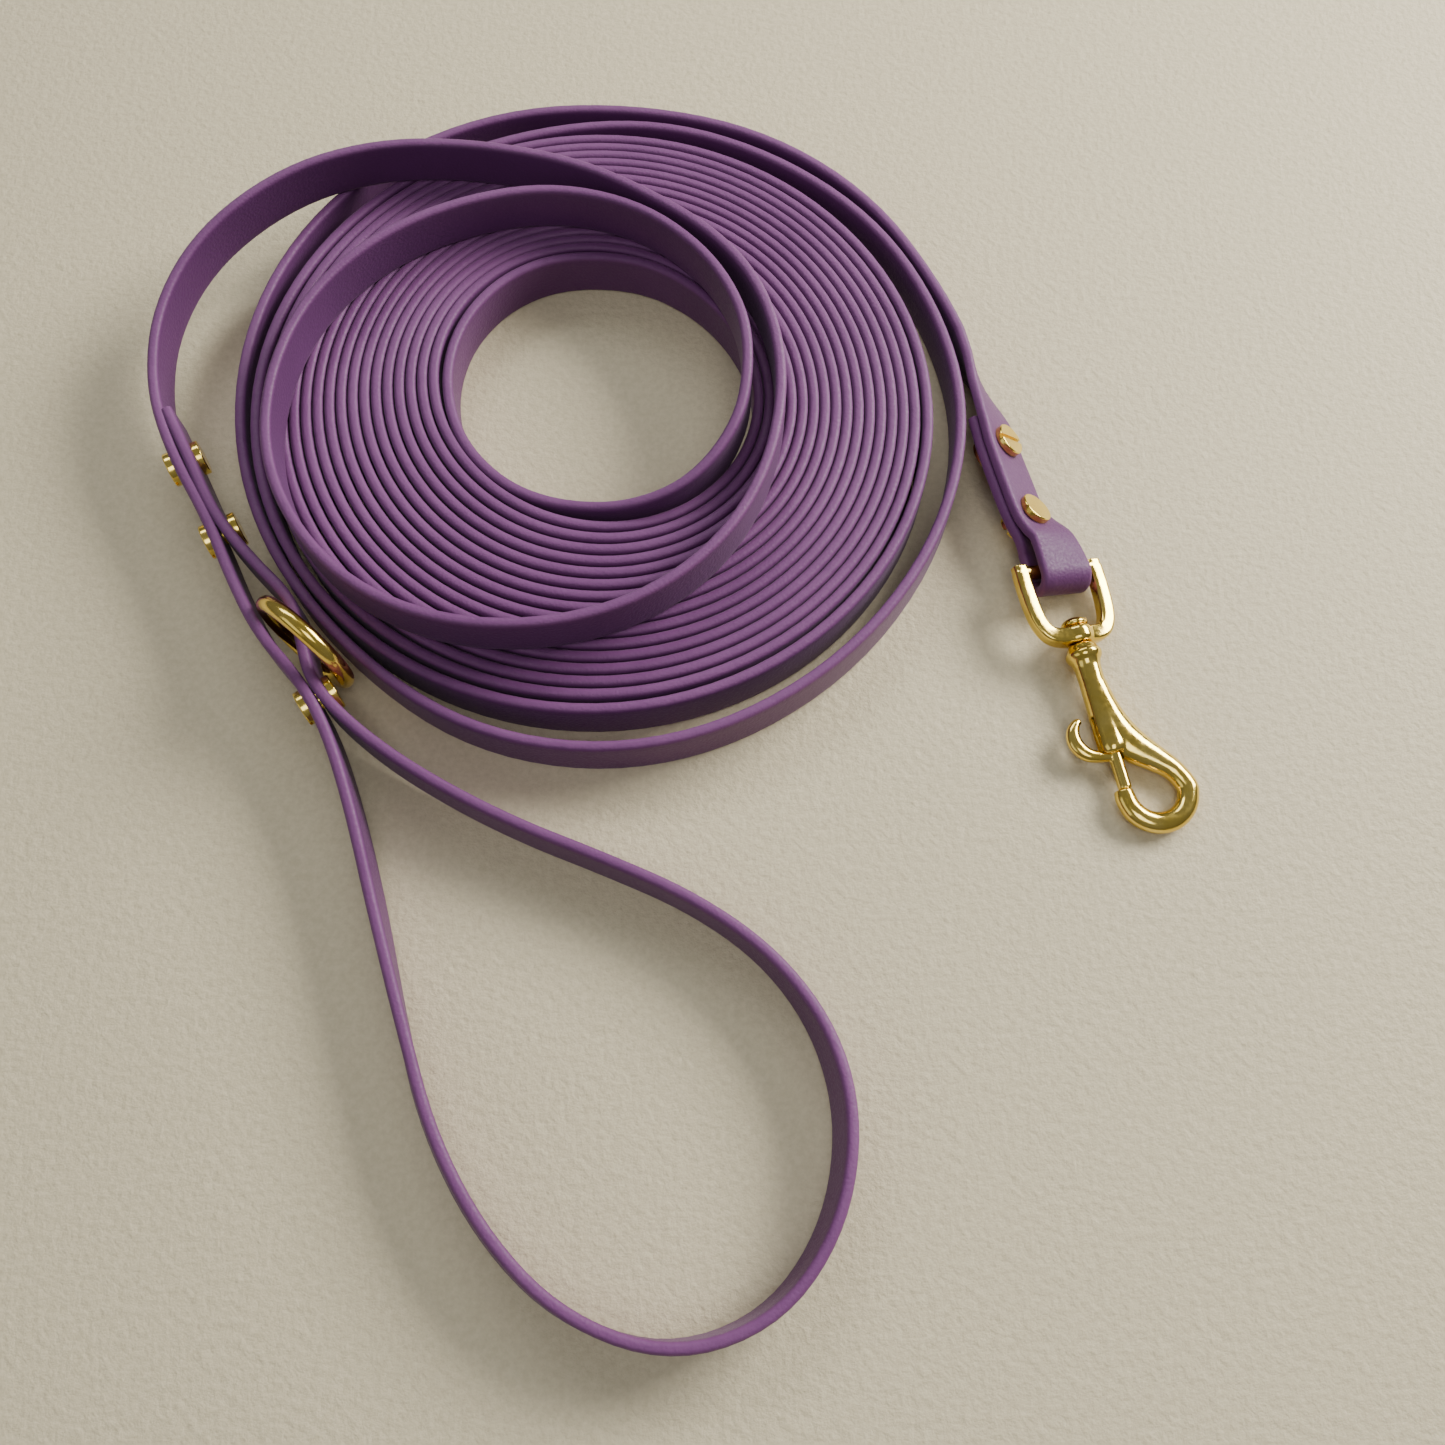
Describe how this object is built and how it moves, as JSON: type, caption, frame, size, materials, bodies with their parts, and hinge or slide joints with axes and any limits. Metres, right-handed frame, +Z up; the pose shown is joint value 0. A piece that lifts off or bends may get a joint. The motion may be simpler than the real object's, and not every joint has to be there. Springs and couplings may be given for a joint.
{
  "type": "training leash",
  "caption": "Long training leash of flat coated webbing wound into a coil, with a brass swivel snap hook at one end and a screwed hand loop with an O-ring at the other.",
  "frame": {"origin": "middle of the wound leash's footprint, on the floor it stands on", "axes": "+Z up, +Y from the hand loop towards the wound coil, +X towards the snap hook's side"},
  "size_m": [0.2376, 0.2946, 0.027],
  "materials": {
    "webbing": "satin",
    "brass": "polished",
    "spring_steel": "satin"
  },
  "bodies": {
    "line": {"strap_coil": "webbing", "strap_hand_loop": "webbing", "strap_joint_lead": "webbing", "strap_joint_tail": "webbing", "strap_outer_turn": "webbing", "strap_rise": "webbing", "strap_snap_tongue": "webbing", "strap_top_loops": "webbing", "handle_post_1": "brass", "handle_post_2": "brass", "handle_post_3": "brass", "handle_screw_1": "brass", "handle_screw_2": "brass", "handle_screw_3": "brass", "tongue_post_1": "brass", "tongue_post_2": "brass", "tongue_screw_1": "brass", "tongue_screw_2": "brass"},
    "eye": {"swivel_eye": "brass"},
    "snap": {"snap_body": "brass", "bolt_spring": "spring_steel"},
    "bolt": {"thumb_bolt": "brass"},
    "ring": {"o_ring": "brass"}
  },
  "joints": [
    {"name": "eye_hinge", "type": "hinge", "parent": "line", "child": "eye", "pos_m": [0.0916, 0.0162, 0.00615], "axis": [-0.941, -0.2187, 0.2584], "range_deg": [-75, 75]},
    {"name": "swivel", "type": "hinge", "parent": "eye", "child": "snap", "pos_m": [0.0951, 0.0001, 0.0052], "axis": [0.211, -0.9758, -0.0576], "continuous": true},
    {"name": "bolt_slide", "type": "slide", "parent": "snap", "child": "bolt", "axis": [-0.211, 0.9758, 0.0576], "range_m": [0, 0.008], "stiffness_N_per_m": 250, "springref_m": -0.003, "deforming": ["bolt_spring"]},
    {"name": "ring_lean", "type": "hinge", "parent": "line", "child": "ring", "pos_m": [-0.0755, -0.0051, 0.0135], "axis": [0.7716, -0.6361, 0], "range_deg": [-2, 4]}
  ]
}
